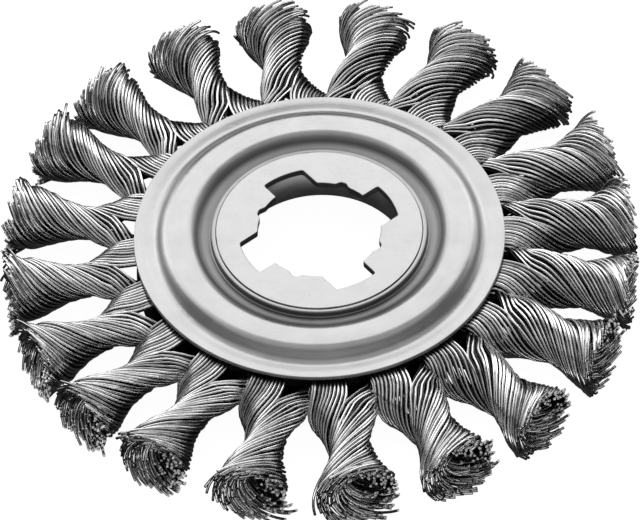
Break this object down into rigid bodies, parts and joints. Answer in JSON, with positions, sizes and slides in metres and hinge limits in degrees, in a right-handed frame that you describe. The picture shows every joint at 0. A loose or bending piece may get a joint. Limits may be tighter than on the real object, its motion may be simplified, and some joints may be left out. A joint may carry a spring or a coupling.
{
  "type": "wire wheel brush",
  "caption": "Knotted wire wheel brush: twisted steel wire knots clamped between two stamped plates, with a four-lobed quick-change star bore.",
  "frame": {"origin": "on the wheel's axis, in the middle plane of the knots, which is also the middle of the whole wheel", "axes": "+Z along the wheel's axis, out of the face that carries the star bore plate; a lobe of the bore opens just counter-clockwise of +X"},
  "size_m": [0.1154, 0.1154, 0.0128],
  "materials": {
    "plate_steel": "satin",
    "star_plate_steel": "fine ground",
    "collar_steel": "turned",
    "ring_steel": "mill",
    "wire_steel": "drawn wire"
  },
  "bodies": {
    "root": {"front_face_plate": "plate_steel", "rear_face_plate": "plate_steel", "star_bore_plate": "star_plate_steel", "hub_collar": "collar_steel", "knot_retaining_ring": "ring_steel", "wire_knot_01": "wire_steel", "wire_knot_02": "wire_steel", "wire_knot_03": "wire_steel", "wire_knot_04": "wire_steel", "wire_knot_05": "wire_steel", "wire_knot_06": "wire_steel", "wire_knot_07": "wire_steel", "wire_knot_08": "wire_steel", "wire_knot_09": "wire_steel", "wire_knot_10": "wire_steel", "wire_knot_11": "wire_steel", "wire_knot_12": "wire_steel", "wire_knot_13": "wire_steel", "wire_knot_14": "wire_steel", "wire_knot_15": "wire_steel", "wire_knot_16": "wire_steel", "wire_knot_17": "wire_steel", "wire_knot_18": "wire_steel", "wire_knot_19": "wire_steel", "wire_knot_20": "wire_steel"}
  },
  "joints": []
}
